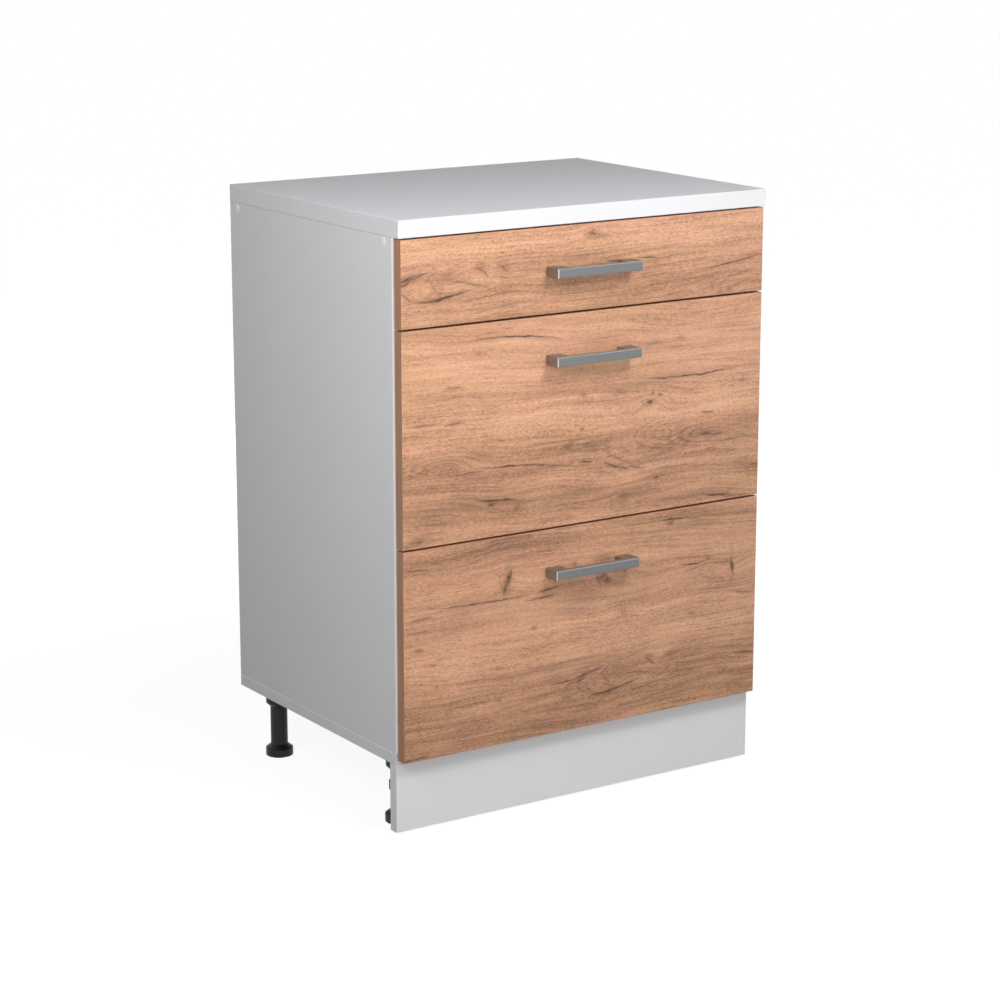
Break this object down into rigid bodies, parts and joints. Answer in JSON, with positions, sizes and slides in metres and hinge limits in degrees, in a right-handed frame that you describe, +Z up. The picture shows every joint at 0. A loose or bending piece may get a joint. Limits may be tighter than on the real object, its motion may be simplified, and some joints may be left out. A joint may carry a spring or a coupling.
{
  "type": "base cabinet with drawers",
  "caption": "Kitchen base cabinet with a white worktop, oak-look drawer fronts on ball runners, bracket handles, adjustable legs and a clipped plinth board.",
  "frame": {"origin": "on the floor, under the middle of the bounding box, handles included", "axes": "+Z up, the drawer fronts face -Y, +X to the right as seen from the front"},
  "size_m": [0.603, 0.486, 0.84],
  "materials": {
    "white_laminate": "white melamine laminate on chipboard, fine satin",
    "worktop_laminate": "white worktop laminate, satin",
    "oak_laminate": "oak-look laminate with horizontal grain, matt",
    "fibreboard": "white painted fibreboard",
    "handle_metal": "satin metal",
    "black_plastic": "moulded, slight sheen",
    "zinc_steel": "bright zinc plating",
    "white_plastic": "gloss"
  },
  "bodies": {
    "carcass": {"worktop": "worktop_laminate", "side_panel_left": "white_laminate", "side_panel_right": "white_laminate", "bottom_panel": "white_laminate", "front_top_rail": "white_laminate", "rear_top_rail": "white_laminate", "back_panel": "fibreboard", "plinth_board": "white_laminate", "plinth_clips": "black_plastic", "confirmat_screws": "zinc_steel", "screw_cover_caps": "white_plastic", "worktop_screws": "zinc_steel", "carcass_small_screws": "zinc_steel", "leg_front_left": "black_plastic", "leg_front_right": "black_plastic", "leg_rear_left": "black_plastic", "leg_rear_right": "black_plastic", "top_runner_outer_left": "zinc_steel", "top_runner_outer_right": "zinc_steel", "middle_runner_outer_left": "zinc_steel", "middle_runner_outer_right": "zinc_steel", "bottom_runner_outer_left": "zinc_steel", "bottom_runner_outer_right": "zinc_steel"},
    "top_drawer": {"top_drawer_front": "oak_laminate", "top_drawer_handle": "handle_metal", "top_drawer_side_left": "white_laminate", "top_drawer_side_right": "white_laminate", "top_drawer_back": "white_laminate", "top_drawer_bottom": "fibreboard", "top_runner_inner_left": "zinc_steel", "top_runner_inner_right": "zinc_steel", "top_drawer_fasteners": "zinc_steel"},
    "top_runner_middles": {"top_runner_middle_left": "zinc_steel", "top_runner_middle_right": "zinc_steel"},
    "middle_drawer": {"middle_drawer_front": "oak_laminate", "middle_drawer_handle": "handle_metal", "middle_drawer_side_left": "white_laminate", "middle_drawer_side_right": "white_laminate", "middle_drawer_back": "white_laminate", "middle_drawer_bottom": "fibreboard", "middle_runner_inner_left": "zinc_steel", "middle_runner_inner_right": "zinc_steel", "middle_drawer_fasteners": "zinc_steel"},
    "middle_runner_middles": {"middle_runner_middle_left": "zinc_steel", "middle_runner_middle_right": "zinc_steel"},
    "bottom_drawer": {"bottom_drawer_front": "oak_laminate", "bottom_drawer_handle": "handle_metal", "bottom_drawer_side_left": "white_laminate", "bottom_drawer_side_right": "white_laminate", "bottom_drawer_back": "white_laminate", "bottom_drawer_bottom": "fibreboard", "bottom_runner_inner_left": "zinc_steel", "bottom_runner_inner_right": "zinc_steel", "bottom_drawer_fasteners": "zinc_steel"},
    "bottom_runner_middles": {"bottom_runner_middle_left": "zinc_steel", "bottom_runner_middle_right": "zinc_steel"},
    "foot_front_left_body": {"foot_front_left": "black_plastic"},
    "foot_front_right_body": {"foot_front_right": "black_plastic"},
    "foot_rear_left_body": {"foot_rear_left": "black_plastic"},
    "foot_rear_right_body": {"foot_rear_right": "black_plastic"}
  },
  "joints": [
    {"name": "top_drawer_slide", "type": "slide", "parent": "carcass", "child": "top_drawer", "axis": [0, -1, 0], "range_m": [0, 0.4]},
    {"name": "top_runner_middle_slide", "type": "slide", "parent": "carcass", "child": "top_runner_middles", "axis": [0, -1, 0], "range_m": [0, 0.2]},
    {"name": "middle_drawer_slide", "type": "slide", "parent": "carcass", "child": "middle_drawer", "axis": [0, -1, 0], "range_m": [0, 0.4]},
    {"name": "middle_runner_middle_slide", "type": "slide", "parent": "carcass", "child": "middle_runner_middles", "axis": [0, -1, 0], "range_m": [0, 0.2]},
    {"name": "bottom_drawer_slide", "type": "slide", "parent": "carcass", "child": "bottom_drawer", "axis": [0, -1, 0], "range_m": [0, 0.4]},
    {"name": "bottom_runner_middle_slide", "type": "slide", "parent": "carcass", "child": "bottom_runner_middles", "axis": [0, -1, 0], "range_m": [0, 0.2]},
    {"name": "foot_front_left_turn", "type": "hinge", "parent": "carcass", "child": "foot_front_left_body", "pos_m": [-0.265, -0.147, 0], "axis": [0, 0, 1], "continuous": true},
    {"name": "foot_front_right_turn", "type": "hinge", "parent": "carcass", "child": "foot_front_right_body", "pos_m": [0.265, -0.147, 0], "axis": [0, 0, 1], "continuous": true},
    {"name": "foot_rear_left_turn", "type": "hinge", "parent": "carcass", "child": "foot_rear_left_body", "pos_m": [-0.265, 0.193, 0], "axis": [0, 0, 1], "continuous": true},
    {"name": "foot_rear_right_turn", "type": "hinge", "parent": "carcass", "child": "foot_rear_right_body", "pos_m": [0.265, 0.193, 0], "axis": [0, 0, 1], "continuous": true}
  ],
  "couplings": [
    {"joint": "top_runner_middle_slide", "follows": "top_drawer_slide", "ratio": 0.5},
    {"joint": "middle_runner_middle_slide", "follows": "middle_drawer_slide", "ratio": 0.5},
    {"joint": "bottom_runner_middle_slide", "follows": "bottom_drawer_slide", "ratio": 0.5}
  ]
}
